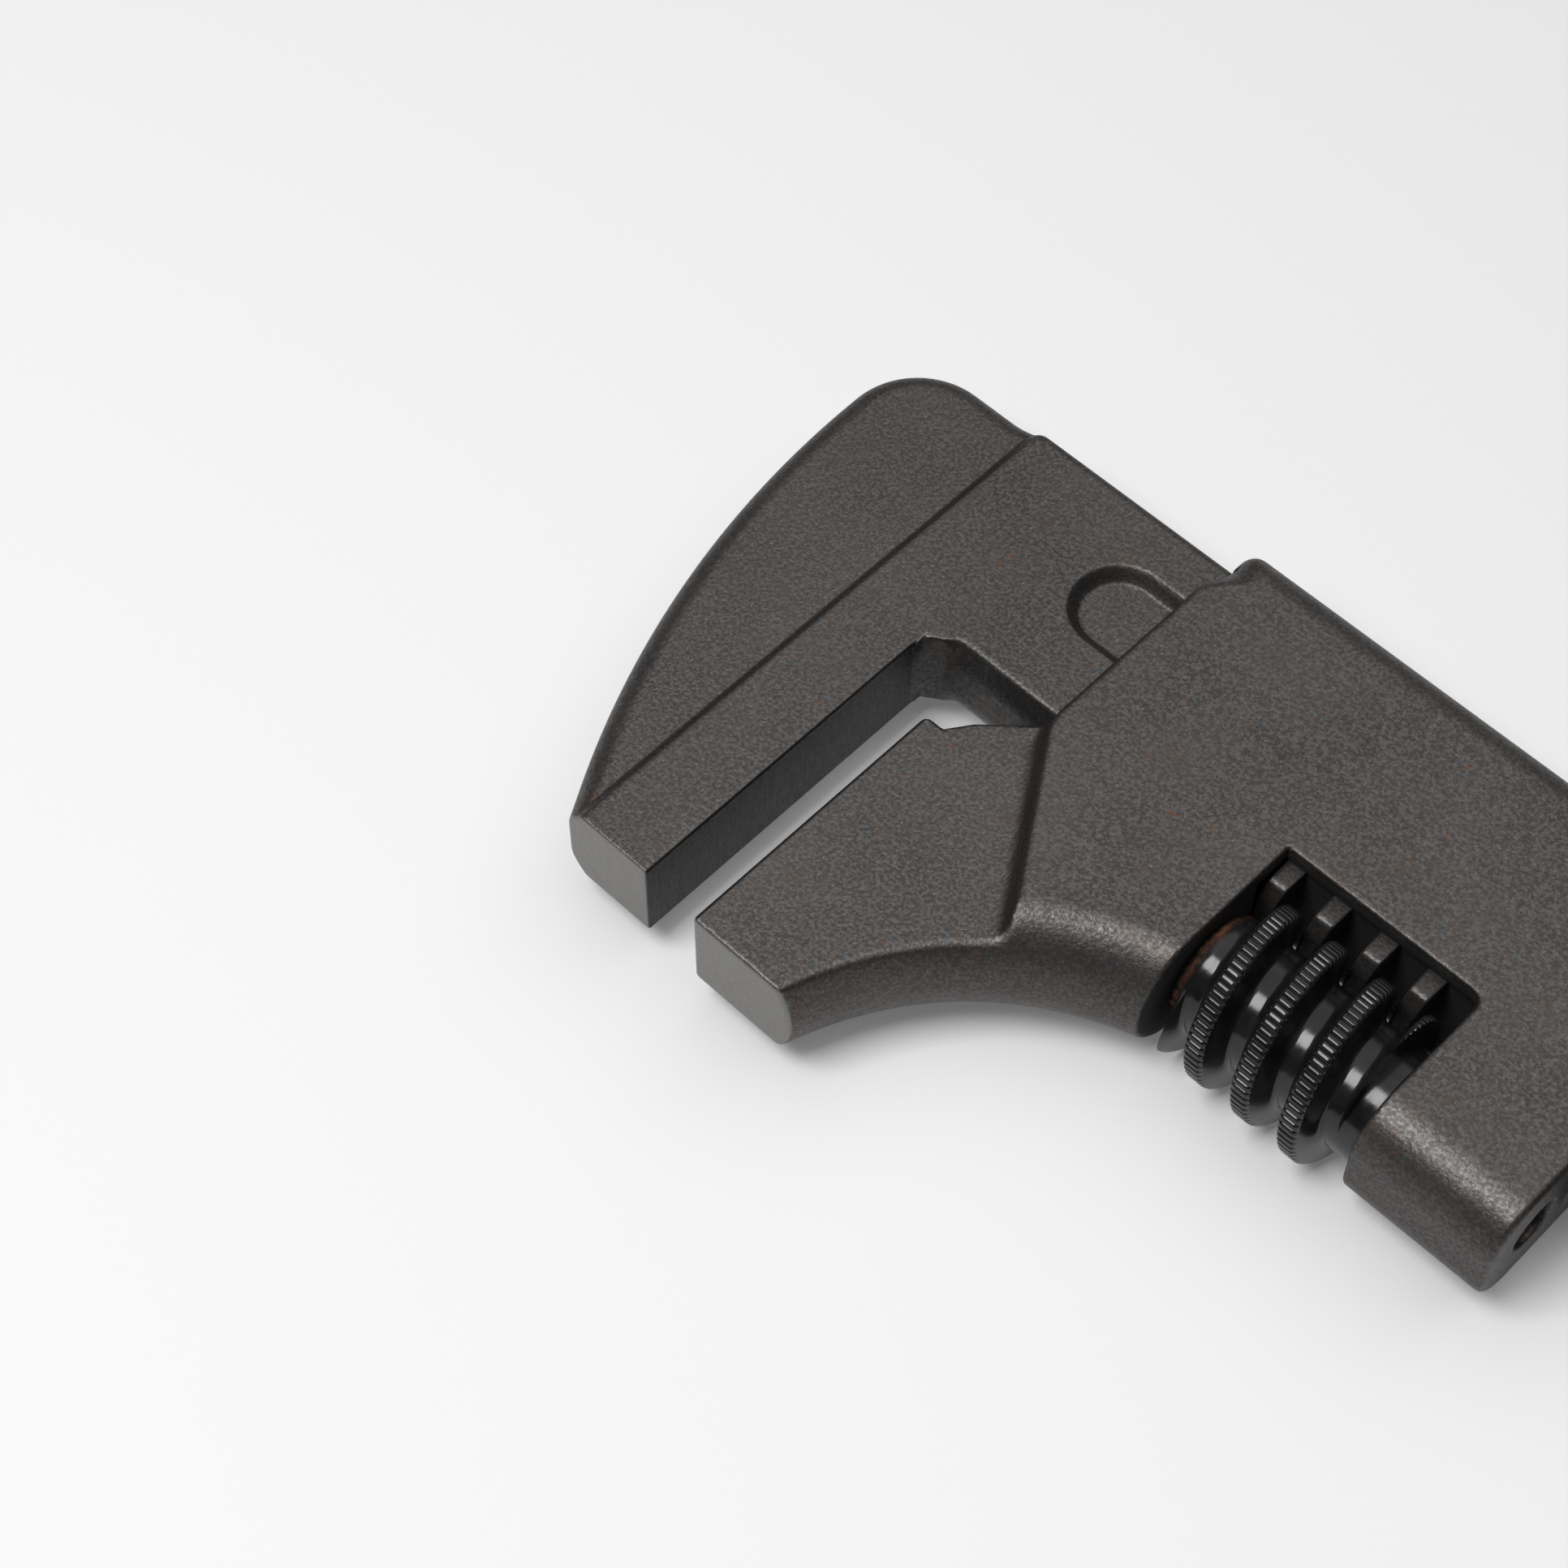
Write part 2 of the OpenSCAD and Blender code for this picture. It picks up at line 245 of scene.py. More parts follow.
# ---------------------------------------------------------------------------
# Body
# ---------------------------------------------------------------------------

MID_Y = (TOP_Y + HEEL_Y) / 2
NECK_X0 = SHANK_END + 10.2
NECK_X1 = NECK_X0 + 22
FLARE_X0 = HANDLE_END - 70
END_R = 15.0
END_X = HANDLE_END - END_R
WAIST = 12.0
HANDLE_T = 7.2
RIM = 4.6
PANEL_DEPTH = 3.0
UNDER_C = (43.5, -58.4)   # middle and radius of the curve under the fixed jaw
UNDER_R = 40.8
CROWN_R = 9.2             # its crown across the thickness, at the root and at the tip
TIP_CROWN_R = 12.8
EDGE_R = 0.9              # the head's long edges
TOP_EDGE_R = 5.0          # those along the shank's outer edge
HEEL_EDGE_R = 6.5         # and the lower ones behind the barrel
BARREL_EDGE_R = 6.2
BARREL_FACE_R = 0.8
WINDOW_CORNER_R = 1.6
AXLE_HOLE_R = 3.25
HANG_R = 5.0
PLAY_Y = 0.2              # between the shank and its pocket
PLAY_Z = 0.15
HEAD_CELL = 0.45          # spacing of the grid that the body's mesh is found on
HANDLE_CELL = 1.0


def handle_half(x):
    """Half width in plan: head, then neck, waist and flare, joined by smooth steps."""
    neck = smooth_step((x - NECK_X0) / (NECK_X1 - NECK_X0))
    flare = smooth_step((x - FLARE_X0) / (END_X - FLARE_X0))
    return (TOP_Y - HEEL_Y) / 2 * (1 - neck) + WAIST * neck + (END_R - WAIST) * flare


def body_height(x, y):
    """Half thickness of the head and handle: the head's, then the handle's, less its
    sunk panel."""
    half = HEAD_T + (HANDLE_T - HEAD_T) * smooth_step((x - NECK_X0 + 6) / 16)
    start, end = NECK_X1 + 2, END_X - 22
    along = np.clip(x, start, end)
    panel = np.hypot(x - along, 0 * y) + np.abs(y - MID_Y) - (handle_half(along) - RIM)
    round_end = np.hypot(x - along, y - MID_Y) - (handle_half(along) - RIM)
    panel = np.where((x < start) | (x > end), round_end, panel)
    return half - PANEL_DEPTH * smooth_step(-panel / 2.4 + 0.1)


def head_plan(x, y):
    """Plan of the full-thickness body: mouth, ridge, barrel and heel, then the handle."""
    ridge = line_side(x, y, (14.2, -21.3), (1.1, -1.2))
    front = round_max(MOUTH_X - x, ridge, 1.2)
    below = np.where(x < (WINDOW_X1 + WINDOW_X0) / 2, -40 - y, BARREL_Y - y)
    step = -round_max(-(x - BARREL_END), -(HEEL_Y - y), 0.5)
    head = round_max(round_max(front, y - TOP_Y, 2.6), np.maximum(below, step), 1.0)
    head = np.maximum(head, x - END_X)
    bar = np.abs(y - MID_Y) - handle_half(x)
    tail = np.hypot(x - END_X, y - MID_Y) - END_R
    handle = np.where(x < END_X, bar, tail)
    return np.where(x < NECK_X0 - 4, head, handle)


def body_field(x, y, z):
    """Head, fixed jaw and handle, less the window, the shank's pocket and the bores. The head
    is a block that ends at the barrel's face, joined to a neck with rounder lower edges."""
    side = np.abs(z)
    plan = head_plan(x, y)
    top = smooth_step((y - 24) / 6)
    low = 1 - smooth_step((y - 8) / 6)
    handle = smooth_step((x - NECK_X0) / 16)
    edge = EDGE_R + (TOP_EDGE_R - EDGE_R) * top - 1.8 * handle * top + 2.2 * handle * (1 - top)
    rise = side - body_height(x, y)
    block = round_max(np.maximum(plan, x - BARREL_END), rise, edge)
    neck = round_max(plan, rise, edge + (HEEL_EDGE_R - EDGE_R) * low * (1 - handle))
    head = np.minimum(block, neck)
    barrel = round_max(BARREL_Y - y, side - HEAD_T, BARREL_EDGE_R)
    barrel = np.where(y < -5, round_max(barrel, x - BARREL_END, BARREL_FACE_R), barrel)
    barrel = np.where((x > WINDOW_X0 + 9) & (x < BARREL_END + 1), barrel, -9)
    head = np.maximum(head, barrel)

    grip = GRIP_X - x
    relief = np.minimum(line_side(x, y, (-5.5, -6.1), (0.1, -1.0)), 20)
    notch = np.minimum(y + 9.0, line_side(x, y, (-7.6, -9.1), (-5.5, -6.1)))
    root = np.where(x < -5.5, notch, relief)
    jaw_plan = round_max(round_max(grip, root, 0.9), FIXED_TIP_Y - y, 0.5)
    jaw_plan = np.maximum(jaw_plan, x - WINDOW_X0 + 8)
    fixed_jaw = round_max(jaw_plan, side - JAW_T, 0.4)

    whole = blend_min(head, fixed_jaw, 2.4)
    crown_r = TIP_CROWN_R + (CROWN_R - TIP_CROWN_R) * smooth_step((x + 2) / 16)
    crown = crown_r - np.sqrt(np.maximum(crown_r ** 2 - z * z, 0.3))
    under = UNDER_R + crown - np.hypot(x - UNDER_C[0], y - UNDER_C[1])
    under = np.where(x < WINDOW_X0 + 6, under, -9)
    whole = blend_max(whole, under, 0.8)

    window = np.maximum(np.maximum(WINDOW_X0 - x, x - WINDOW_X1), y - WINDOW_TOP)
    corner = round_max(x - WINDOW_X1, y - WINDOW_TOP, WINDOW_CORNER_R)
    window = np.where(x > WINDOW_X1 - 6, np.maximum(window, corner), window)
    pocket = np.maximum(np.maximum(-PLAY_Y - y, y - SHANK_W - PLAY_Y),
                        np.maximum(side - JAW_T - PLAY_Z, x - NECK_X0 + 1))
    bore = np.hypot(y - KNURL_Y, z) - AXLE_HOLE_R
    bore = np.maximum(bore, WINDOW_X0 - 10 - x)
    whole = blend_max(whole, -window, 0.5)
    whole = blend_max(whole, -pocket, 0.35)
    whole = blend_max(whole, -np.where(x < BARREL_END + 3, bore, 9), 0.6)
    hang = np.hypot(x - END_X, y - MID_Y) - HANG_R
    whole = blend_max(whole, -hang, 1.6)
    return whole


def body_painted_shade(x, y, z):
    """Painted shade, near black, on the window's walls, in the shank's pocket and in the axle's
    hole, fading at their edges."""
    deep = HEAD_T - np.abs(z)
    window = (smooth_step((x - WINDOW_X0 + 0.15) / 0.1) * smooth_step((WINDOW_X1 + 0.15 - x) / 0.1)
              * smooth_step((WINDOW_TOP + 0.15 - y) / 0.1) * smooth_step((deep - 0.3) / 0.9))
    pocket = (smooth_step((y + 0.3) / 0.1) * smooth_step((SHANK_W + 0.3 - y) / 0.1)
              * smooth_step((deep - 2.0) / 0.5) * smooth_step((x - MOUTH_X - 0.6) / 1.5)
              * smooth_step((NECK_X0 - x) / 0.5))
    from_axis = np.hypot(y - KNURL_Y, z)
    bore = (smooth_step((AXLE_HOLE_R + 0.15 - from_axis) / 0.12)
            * smooth_step((BARREL_END - 0.5 - x) / 0.8))
    return np.maximum(np.maximum(window, pocket), bore)


def make_body():
    """The whole forging, closely sampled in the head and coarsely along the handle."""
    xs = np.concatenate([spaced(GRIP_X - 1, NECK_X0 - 6, HEAD_CELL)[:-1],
                         spaced(NECK_X0 - 6, HANDLE_END + 1.5, HANDLE_CELL)])
    ys = spaced(FIXED_TIP_Y - 1, TOP_Y + 1, HEAD_CELL)
    zs = spaced(-HEAD_T - 0.7, HEAD_T + 0.7, HEAD_CELL)
    return field_piece("body_forging", body_field, xs, ys, zs, 0.3, body_painted_shade)


# ---------------------------------------------------------------------------
# Sliding jaw
# ---------------------------------------------------------------------------

WING_R = 125.0
CORNER_R = 10.5
GROOVE_X0 = ARM_X + 39.83
GROOVE_LEAN = PITCH / (2 * pi * 10.2)
GROOVE_W = 4.1
RACK_DEPTH = 5.0
JAW_CELL = 0.42


def wing_plan(x, y):
    """Outer curve of the wing: a long arc, then a round corner to the shank's edge."""
    mid_y = SHANK_W - CORNER_R
    arc = np.hypot(x - WING_X - WING_R, y - mid_y) - WING_R
    corner = round_max(WING_X - x, y - SHANK_W, CORNER_R)
    return np.where(y < mid_y, arc, corner)


def jaw_field(x, y, z):
    """Arm, wing and shank, less the throat, the rack's grooves and the sunk panels."""
    side = np.abs(z)
    step = smooth_step((CREASE_X + 0.4 - x) / 1.3)
    panel = stadium(x, y, ARM_X + 13.6, SHANK_END - 14, 17.3, 6.4)
    height = JAW_T - 0.6 * step - 1.8 * smooth_step(-panel / 1.9)
    face = side - height

    wing = wing_plan(x, y)
    edge = 0.5 + 3.0 * smooth_step((CREASE_X + 4 - x) / 8)
    outline = round_max(wing, face, np.where(y < SHANK_W - 12, edge, np.maximum(edge, 1.5)))
    tip = round_max(SLIDE_TIP_Y - y, face, 0.35)
    end = round_max(x - SHANK_END, face, 0.8)
    solid = np.maximum(np.maximum(outline, end), np.maximum(tip, SLIDE_TIP_Y - y))
    solid = blend_max(solid, SLIDE_TIP_Y - y, 0.4)

    throat = -round_max(ARM_X - x, y, 3.1)
    bevel_amount = smooth_step((x - ARM_X - 0.6) / 3.5)
    bevel = ((y * -2.8 + 1.3 * 2.8) + (side - JAW_T) * 1.3) / 3.087 - 2.2 * (1 - bevel_amount)
    bevel = np.where(x > ARM_X, bevel, -9)
    solid = round_max(solid, throat, 0.35)
    solid = blend_max(solid, bevel, 0.5)

    along = x - z * GROOVE_LEAN - GROOVE_X0
    from_groove = np.abs(along - PITCH * np.round(np.maximum(along, 0) / PITCH))
    groove = np.maximum(from_groove - GROOVE_W / 2 + 0.02 * y, y - RACK_DEPTH)
    return blend_max(solid, -groove, 0.3)


def jaw_painted_shade(x, y, z):
    """Painted shade, near black, in the rack's grooves, half as much on the teeth between them,
    and none on the shank's bevelled edge."""
    along = x - z * GROOVE_LEAN - GROOVE_X0
    from_groove = np.abs(along - PITCH * np.round(np.maximum(along, 0) / PITCH))
    in_groove = smooth_step((GROOVE_W / 2 + 0.12 - from_groove) / 0.1)
    teeth = 0.45 * smooth_step((along + GROOVE_W) / 2)
    rack = smooth_step((y - 1.5) / 0.8) * smooth_step((RACK_DEPTH + 1.2 - y) / 0.8)
    return np.maximum(in_groove * smooth_step((RACK_DEPTH + 0.2 - y) / 0.2)
                      * smooth_step(y / 0.6 + 0.2), teeth * rack)


def make_jaw():
    """The whole sliding jaw, sampled evenly."""
    xs = spaced(WING_X - 1, SHANK_END + 1, JAW_CELL)
    ys = spaced(SLIDE_TIP_Y - 1, SHANK_W + 1, JAW_CELL)
    zs = spaced(-JAW_T - 0.7, JAW_T + 0.7, JAW_CELL)
    return field_piece("jaw_forging", jaw_field, xs, ys, zs, 0.28, jaw_painted_shade)


# ---------------------------------------------------------------------------
# Knurl
# ---------------------------------------------------------------------------

KNURL_R = 10.7
CORE_R = 7.2
BORE_R = 3.26
CREST_W = 2.2
FLANK = radians(14.5)
CORE_X0 = WINDOW_X0 + 0.5
CORE_X1 = WINDOW_X1 - 0.3
THREAD_X0 = CORE_X0 + 1.8
THREAD_X1 = CORE_X1 - 2.2
THREAD_PHASE = GROOVE_X0 + PITCH / 4       # the crest's centre on the +Z side
SERRATIONS = 68
SERRATION_DEPTH = 0.26
STEPS_PER_SERRATION = 8


def thread_radius(from_crest, turn):
    """Radius of the worm at a distance along the axis from the crest's middle: a crest of
    flat lands whose drop grows with the fourth power of the way to the next groove, eased
    corners, straight flanks, and a hollow fillet at the root."""
    d = np.abs(from_crest)
    half = CREST_W / 2
    flank = KNURL_R - (d - half) / tan(FLANK)
    across = SERRATIONS * turn / (2 * pi)
    across = 2 * np.abs(across - np.round(across))
    crest = KNURL_R - SERRATION_DEPTH * across ** 4 - 0.25 * np.maximum(d / half - 0.55, 0) ** 2
    top = blend_max(-crest, -flank, 0.25)
    return blend_max(-top, CORE_R + 0 * d, 1.5)


def make_knurl():
    """Worm on a grid of turn angle by station. A station keeps its place on the thread, so
    its X moves on by one pitch in a turn, and it is held between the knurl's two ends."""
    turns = SERRATIONS * STEPS_PER_SERRATION
    per_pitch = 36
    pitches = 6
    angle = np.arange(turns) * 2 * pi / turns
    # stations lie at equal steps along the thread's outline
    fine = np.linspace(-PITCH / 2, PITCH / 2, 2001)
    outline = thread_radius(fine, pi / SERRATIONS)
    length = np.concatenate([[0], np.cumsum(np.hypot(np.diff(fine), np.diff(outline)))])
    offset = np.interp(np.arange(per_pitch) / per_pitch * length[-1], length, fine)
    station = (THREAD_PHASE + PITCH * np.arange(pitches)[:, None] + offset[None, :]).ravel()
    free_x = station[None, :] + PITCH * angle[:, None] / (2 * pi)
    x = np.clip(free_x, THREAD_X0, THREAD_X1)
    from_crest = x - THREAD_PHASE - PITCH * angle[:, None] / (2 * pi)
    from_crest = from_crest - PITCH * np.round(from_crest / PITCH)
    radius = thread_radius(from_crest, angle[:, None])
    count = len(station)
    points = np.stack([x, KNURL_Y - radius * np.sin(angle)[:, None],
                       radius * np.cos(angle)[:, None]], axis=2).reshape(-1, 3)
    i, k = np.meshgrid(np.arange(turns), np.arange(count - 1), indexing="ij")
    wrap = i == turns - 1
    shift = np.where(wrap, per_pitch, 0)
    nxt = (i + 1) % turns
    k2 = np.minimum(k + shift, count - 1)
    k3 = np.minimum(k + 1 + shift, count - 1)
    quads = np.stack([i * count + k, i * count + k + 1, nxt * count + k3, nxt * count + k2],
                     axis=2).reshape(-1, 4)

    # hub, end faces and bore: rings outward from the thread's end faces to the bore
    def ring(xr, rr):
        return np.stack([np.full(turns, xr), KNURL_Y - rr * np.sin(angle),
                         rr * np.cos(angle)], axis=1)

    left = [ring(THREAD_X0, CORE_R), ring(CORE_X0 + 0.8, CORE_R), ring(CORE_X0, CORE_R - 0.8),
            ring(CORE_X0, BORE_R), ring(CORE_X1, BORE_R), ring(CORE_X1, CORE_R),
            ring(THREAD_X1, CORE_R)]
    rings = np.concatenate(left)
    start = len(points)
    points = np.concatenate([points, rings])
    col = np.arange(turns)
    nxt = (col + 1) % turns
    extra = []
    first = col * count
    extra.append(np.stack([start + col, first, nxt * count, start + nxt], axis=1))
    for j in range(len(left) - 1):
        a, b = start + j * turns, start + (j + 1) * turns
        extra.append(np.stack([b + col, a + col, a + nxt, b + nxt], axis=1))
    last_ring = start + (len(left) - 1) * turns
    last = col * count + count - 1
    extra.append(np.stack([last, last_ring + col, last_ring + nxt, nxt * count + count - 1],
                          axis=1))
    faces = np.concatenate([quads] + extra)
    piece = mesh_piece("knurl_worm", points, faces)
    bm = bmesh.new()
    bm.from_mesh(piece.data)
    bmesh.ops.remove_doubles(bm, verts=bm.verts, dist=0.004 * MM)
    bmesh.ops.recalc_face_normals(bm, faces=bm.faces)
    bm.to_mesh(piece.data)
    bm.free()
    piece.data.set_sharp_from_angle(angle=radians(50))
    return piece


# ---------------------------------------------------------------------------
# Finishes
# ---------------------------------------------------------------------------

class Finish:
    """A material under construction: a principled shader and short ways to add nodes."""

    def __init__(self, name):
        self.material = bpy.data.materials.new(name)
        self.material.use_nodes = True
        self.tree = self.material.node_tree
        self.shader = self.tree.nodes["Principled BSDF"]
        self.place = self.node("ShaderNodeTexCoord").outputs["Object"]

    def node(self, kind, **settings):
        made = self.tree.nodes.new(kind)
        for key, value in settings.items():
            setattr(made, key, value)
        return made

    def link(self, source, socket):
        if isinstance(source, (int, float)):
            socket.default_value = source
        elif isinstance(source, (tuple, list)):
            socket.default_value = (*source, 1.0) if len(source) == 3 else source
        else:
            self.tree.links.new(source, socket)

    def noise(self, per_mm, detail=3.0, rough=0.55, stretch=(1, 1, 1)):
        """Noise of so many features to a millimetre."""
        mapping = self.node("ShaderNodeMapping")
        self.link(self.place, mapping.inputs["Vector"])
        mapping.inputs["Scale"].default_value = stretch
        made = self.node("ShaderNodeTexNoise")
        self.link(mapping.outputs["Vector"], made.inputs["Vector"])
        made.inputs["Scale"].default_value = per_mm / MM
        made.inputs["Detail"].default_value = detail
        made.inputs["Roughness"].default_value = rough
        return made.outputs["Fac"]

    def ramp(self, value, low, high, out_low=0.0, out_high=1.0):
        """value from low..high taken to out_low..out_high, and held outside."""
        made = self.node("ShaderNodeMapRange")
        made.clamp = True
        self.link(value, made.inputs["Value"])
        for key, number in (("From Min", low), ("From Max", high),
                            ("To Min", out_low), ("To Max", out_high)):
            made.inputs[key].default_value = number
        return made.outputs["Result"]

    def math(self, operation, a, b=0.0):
        made = self.node("ShaderNodeMath", operation=operation)
        self.link(a, made.inputs[0])
        self.link(b, made.inputs[1])
        return made.outputs[0]

    def mix(self, factor, a, b):
        made = self.node("ShaderNodeMix", data_type="RGBA")
        self.link(factor, made.inputs["Factor"])
        self.link(a, made.inputs["A"])
        self.link(b, made.inputs["B"])
        return made.outputs["Result"]

    def bump(self, height, distance, under=None):
        made = self.node("ShaderNodeBump")
        made.inputs["Distance"].default_value = distance
        self.link(height, made.inputs["Height"])
        if under is not None:
            self.link(under, made.inputs["Normal"])
        return made.outputs["Normal"]


def near(f, axis, value, reach, side=1):
    """1 within reach millimetres of the plane axis = value, and 0 past twice that, counting
    only the side that the sign gives."""
    split = f.node("ShaderNodeSeparateXYZ")
    f.link(f.place, split.inputs["Vector"])
    plane = (value + ORIGIN["XYZ".index(axis)]) * MM
    past = f.math("SUBTRACT", split.outputs[axis], plane)
    past = f.math("MULTIPLY", past, float(side))
    return f.ramp(past, reach * MM, 2 * reach * MM, 1.0, 0.0)


def forged_steel(name, tip_y, grip_x, grip_side, grip_top):
    """Tumbled dark forging: warm grey, a fine sparkling grain and sparse rust specks, with a
    ground tip, lighter and smoother, and a dark grip face with fine tool lines."""
    f = Finish(name)
    broad = f.noise(0.06, 3)
    grain = f.noise(2.2, 2, 0.65)
    fine = f.noise(3.6, 1, 0.5)
    base = f.mix(f.ramp(broad, 0.35, 0.65), (0.080, 0.076, 0.074), (0.106, 0.099, 0.094))
    base = f.mix(f.ramp(grain, 0.40, 0.66, 0.0, 0.75), base, (0.185, 0.177, 0.170))
    base = f.mix(f.ramp(f.noise(0.12, 4, 0.7), 0.52, 0.7, 0.0, 0.5), base, (0.115, 0.090, 0.074))
    sparkle = f.math("MULTIPLY", f.ramp(fine, 0.68, 0.77), 0.5)
    base = f.mix(sparkle, base, (0.40, 0.39, 0.38))
    specks = f.math("MULTIPLY", f.ramp(f.noise(0.8, 2, 0.5), 0.66, 0.74),
                    f.ramp(f.noise(0.05, 2), 0.45, 0.62))
    base = f.mix(f.math("MULTIPLY", specks, 0.6), base, (0.20, 0.080, 0.028))
    ground = near(f, "Y", tip_y, 0.2)
    base = f.mix(ground, base, (0.29, 0.283, 0.273))
    grip = f.math("MULTIPLY", near(f, "X", grip_x, 0.12, grip_side),
                  near(f, "Y", grip_top, 0.1))
    lines = f.noise(1.0, 2, 0.6, (1.0, 5.0, 0.25))
    dark = f.mix(f.ramp(lines, 0.35, 0.7), (0.035, 0.034, 0.033), (0.085, 0.082, 0.079))
    base = f.mix(grip, base, dark)
    # painted shade: the piece's point attribute mixes in near black where recesses and turned-away
    # sides fall in shade, and makes those parts rougher and less metallic
    painted_shade = f.node("ShaderNodeAttribute", attribute_name="painted_shade").outputs["Fac"]
    base = f.mix(f.math("MULTIPLY", painted_shade, 0.88), base, (0.006, 0.006, 0.006))
    f.link(base, f.shader.inputs["Base Color"])
    rough = f.ramp(grain, 0.3, 0.8, 0.54, 0.42)
    rough = f.math("SUBTRACT", rough, f.math("MULTIPLY", ground, 0.10))
    rough = f.math("MAXIMUM", rough, f.math("MULTIPLY", painted_shade, 0.8))
    f.link(rough, f.shader.inputs["Roughness"])
    metal = f.ramp(painted_shade, 0.3, 0.9, 0.95, 0.2)
    f.link(metal, f.shader.inputs["Metallic"])
    bumps = f.bump(f.noise(0.5, 3), 0.00004)
    bumps = f.bump(grain, 0.00007, bumps)
    f.link(bumps, f.shader.inputs["Normal"])
    return f.material


def black_oxide(name):
    """Glossy black turned steel, with faint turning marks round the axis and a rusty ring
    on the end that rubs the window's front wall."""
    f = Finish(name)
    marks = f.noise(1.5, 2, 0.5, (1.0, 0.08, 0.08))
    base = f.mix(f.ramp(f.noise(0.3, 3), 0.4, 0.7), (0.010, 0.010, 0.011), (0.024, 0.023, 0.024))
    rust = f.math("MULTIPLY", near(f, "X", CORE_X0, 0.75), f.ramp(f.noise(0.5, 4, 0.7), 0.42, 0.6))
    base = f.mix(rust, base, (0.115, 0.045, 0.020))
    f.link(base, f.shader.inputs["Base Color"])
    f.shader.inputs["Metallic"].default_value = 0.25
    rough = f.ramp(marks, 0.3, 0.7, 0.13, 0.20)
    f.link(f.math("ADD", rough, f.math("MULTIPLY", rust, 0.5)), f.shader.inputs["Roughness"])
    f.link(f.bump(marks, 0.00001), f.shader.inputs["Normal"])
    return f.material


def dull_steel(name):
    """Plain turned steel, oiled and dulled."""
    f = Finish(name)
    marks = f.noise(1.2, 2, 0.5, (1.0, 0.1, 0.1))
    base = f.mix(f.ramp(marks, 0.35, 0.7), (0.06, 0.055, 0.05), (0.13, 0.12, 0.11))
    f.link(base, f.shader.inputs["Base Color"])
    f.shader.inputs["Metallic"].default_value = 0.9
    f.link(f.ramp(marks, 0.3, 0.7, 0.35, 0.5), f.shader.inputs["Roughness"])
    f.link(f.bump(marks, 0.00002), f.shader.inputs["Normal"])
    return f.material


def dress(piece, material):
    piece.data.materials.clear()
    piece.data.materials.append(material)


# ---------------------------------------------------------------------------
# Camera, light and floor
# ---------------------------------------------------------------------------

ELEVATION = radians(57.2)
AZIMUTH = radians(44.3)
FOCAL_PER_FRAME = 4200 / 1932
CAMERA_PLACE = (127.645, -172.976, 317.004 + JAW_T)     # in the working frame


def set_camera():
    """Looks down at the head from the jaw-tip side, with no roll."""
    ahead = Vector((-sin(AZIMUTH), cos(AZIMUTH), 0))
    right = Vector((cos(AZIMUTH), sin(AZIMUTH), 0))
    look = cos(ELEVATION) * ahead - sin(ELEVATION) * Vector((0, 0, 1))
    up = sin(ELEVATION) * ahead + cos(ELEVATION) * Vector((0, 0, 1))
    data = bpy.data.cameras.new("camera")
    data.sensor_width = 36
    data.lens = 36 * FOCAL_PER_FRAME
    data.clip_start = 0.01
    data.clip_end = 20
    camera = bpy.data.objects.new("camera", data)
    place = (np.array(CAMERA_PLACE) + ORIGIN) * MM
    turn = Matrix((right, up, -look)).transposed().to_4x4()
    camera.matrix_world = Matrix.Translation(place) @ turn
    bpy.context.scene.collection.objects.link(camera)
    bpy.context.scene.camera = camera


def add_light(name, aim, toward, distance, size, power):
    """A square soft light, seen from the aim point in the direction toward."""
    data = bpy.data.lights.new(name, "AREA")
    data.shape = "SQUARE"
    data.size = size
    data.energy = power
    lamp = bpy.data.objects.new(name, data)
    toward = Vector(toward).normalized()
    lamp.location = Vector(aim) + toward * distance
    lamp.rotation_euler = toward.to_track_quat("Z", "Y").to_euler()
    bpy.context.scene.collection.objects.link(lamp)


CEILING = 0.88
HORIZON = 0.05
CEILING_LEAN = radians(20)        # the ceiling's middle leans this far from overhead, to +Y
CEILING_SPREAD = radians(37)      # and it reaches this far from its middle
CEILING_FADE = radians(8)
KEY_TOWARD = (-0.21, -0.39, 0.895)
KEY_SIZE = 0.36
KEY_POWER = 4.7
KEY_AIM = (-0.03, 0, 0.01)
KEY_DISTANCE = 0.9
FLOOR_GLOW = 0.12
FLOOR_HALF = 12.0
FLOOR_DROP = 0.00005


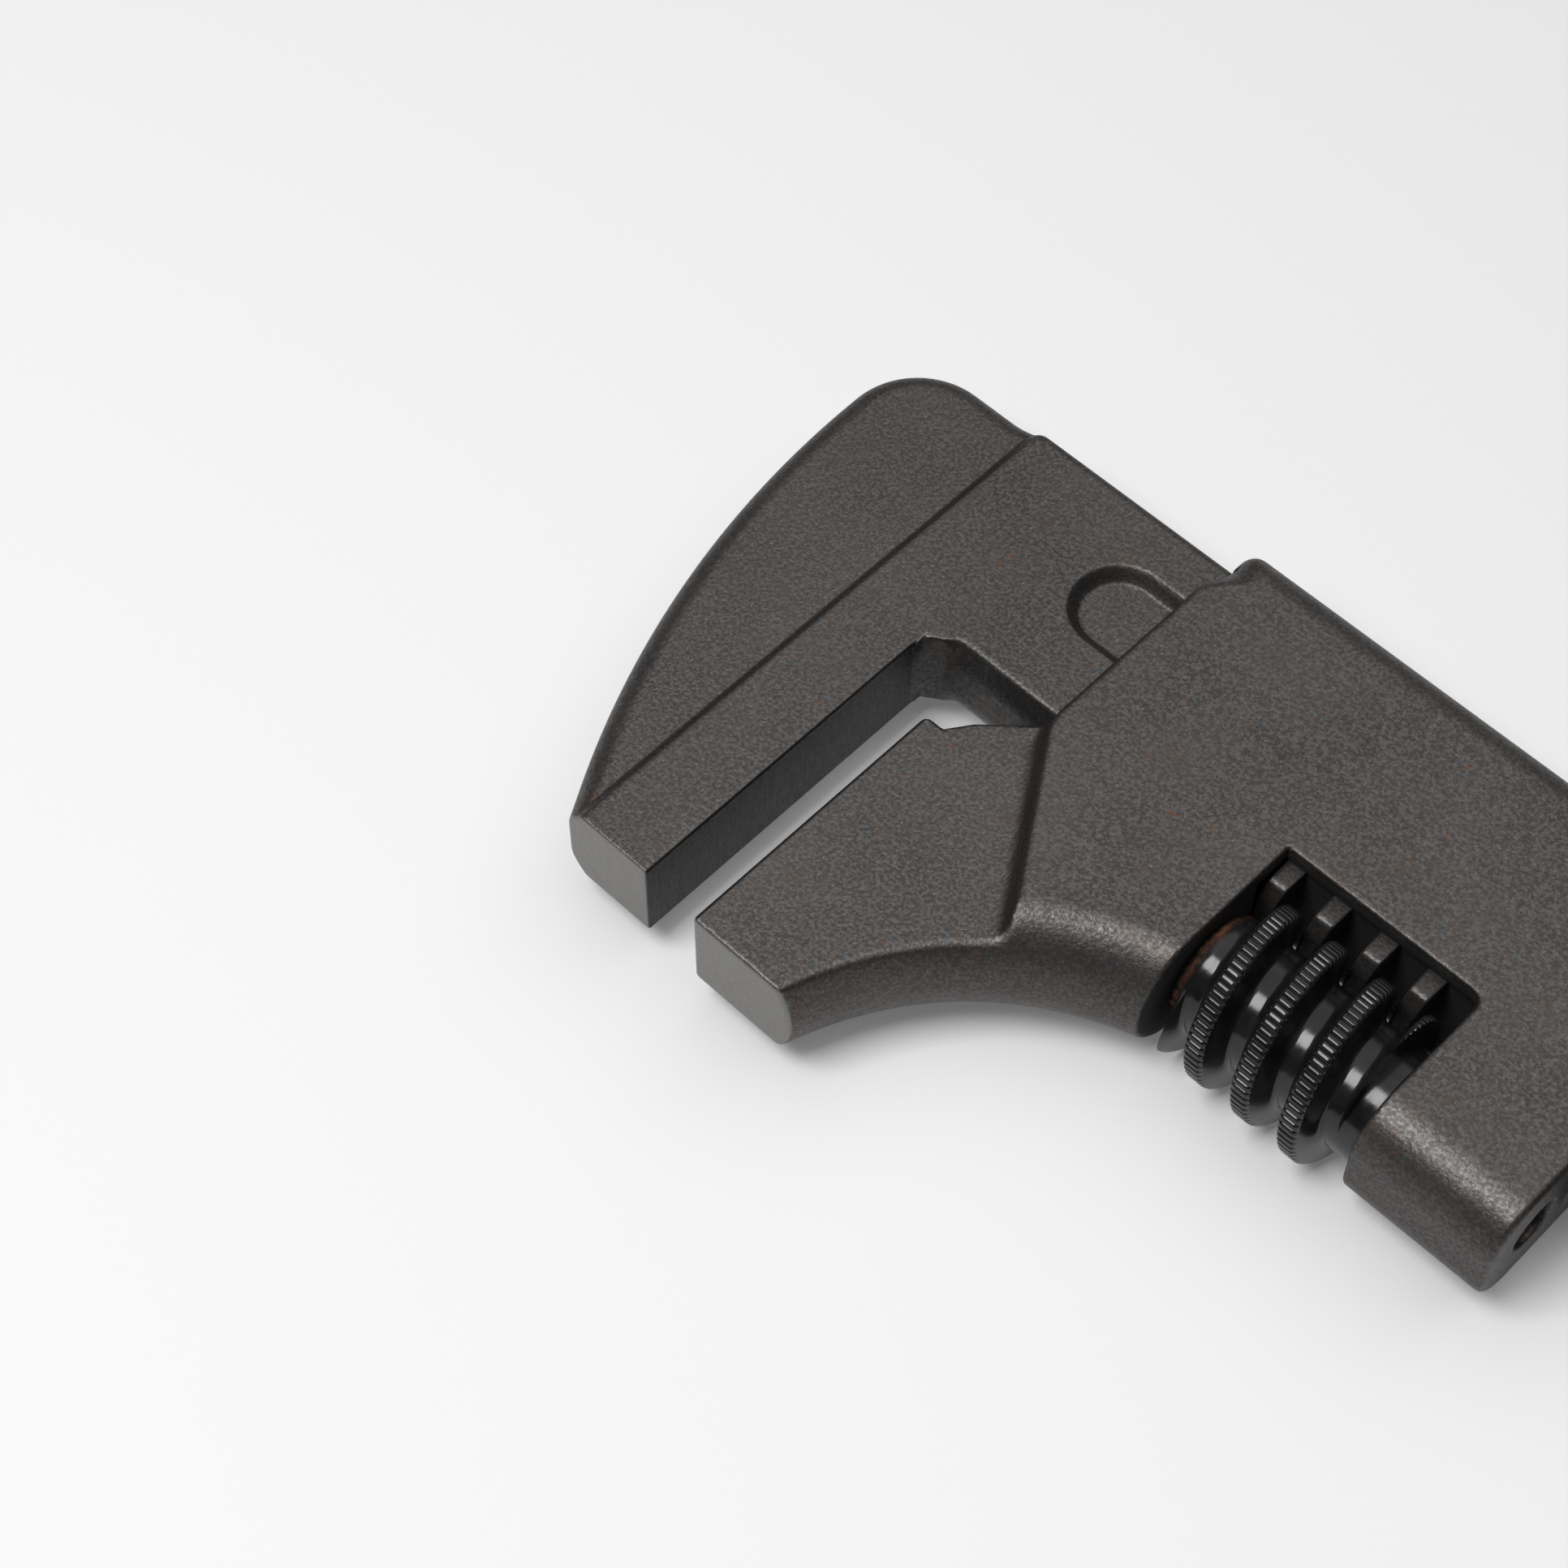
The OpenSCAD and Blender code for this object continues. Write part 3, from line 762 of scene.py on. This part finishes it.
def set_stage():
    """Pale floor at the wrench's lowest point, a compact key from above, and a ceiling that
    fades to a dark horizon. A direction's share of the ceiling goes by its cosine with the
    ceiling's middle."""
    world = bpy.data.worlds.new("sky")
    world.use_nodes = True
    tree = world.node_tree
    where = tree.nodes.new("ShaderNodeTexCoord")
    lean = tree.nodes.new("ShaderNodeVectorMath")
    lean.operation = "DOT_PRODUCT"
    lean.inputs[1].default_value = (0, sin(CEILING_LEAN), cos(CEILING_LEAN))
    fade = tree.nodes.new("ShaderNodeMapRange")
    fade.interpolation_type = "SMOOTHSTEP"
    tree.links.new(where.outputs["Generated"], lean.inputs[0])
    tree.links.new(lean.outputs["Value"], fade.inputs["Value"])
    for key, number in (("From Min", cos(CEILING_SPREAD + CEILING_FADE)),
                        ("From Max", cos(CEILING_SPREAD - CEILING_FADE)),
                        ("To Min", HORIZON), ("To Max", CEILING)):
        fade.inputs[key].default_value = number
    sky = tree.nodes["Background"]
    sky.inputs["Color"].default_value = (1, 1, 1, 1)
    tree.links.new(fade.outputs["Result"], sky.inputs["Strength"])
    bpy.context.scene.world = world
    bpy.context.scene.view_settings.view_transform = "Standard"
    add_light("key", KEY_AIM, KEY_TOWARD, KEY_DISTANCE, KEY_SIZE, KEY_POWER)
    mesh = bpy.data.meshes.new("floor")
    half = FLOOR_HALF
    mesh.from_pydata([(-half, -half, 0), (half, -half, 0), (half, half, 0), (-half, half, 0)],
                     [], [(0, 1, 2, 3)])
    floor = bpy.data.objects.new("floor", mesh)
    floor.location.z = -FLOOR_DROP
    bpy.context.scene.collection.objects.link(floor)
    f = Finish("floor_paper")
    f.link((0.9, 0.9, 0.9), f.shader.inputs["Base Color"])
    f.shader.inputs["Roughness"].default_value = 0.8
    f.shader.inputs["Emission Color"].default_value = (1, 1, 1, 1)
    f.shader.inputs["Emission Strength"].default_value = FLOOR_GLOW
    dress(floor, f.material)


# ---------------------------------------------------------------------------
# Assembly
# ---------------------------------------------------------------------------

set_camera()
set_stage()

body_piece = make_body()
dress(body_piece, forged_steel("forged_body", FIXED_TIP_Y, GRIP_X, 1, GRIP_TOP))
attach(body_piece, "frame")
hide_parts("body")

jaw_piece = make_jaw()
dress(jaw_piece, forged_steel("forged_jaw", SLIDE_TIP_Y, ARM_X, -1, THROAT_TOP))
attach(jaw_piece, "jaw")
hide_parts("sliding_jaw")

knurl_piece = make_knurl()
dress(knurl_piece, black_oxide("black_knurl"))
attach(knurl_piece, "knurl")
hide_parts("knurl")

dress(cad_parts["axle_screw"], dull_steel("steel_screw"))
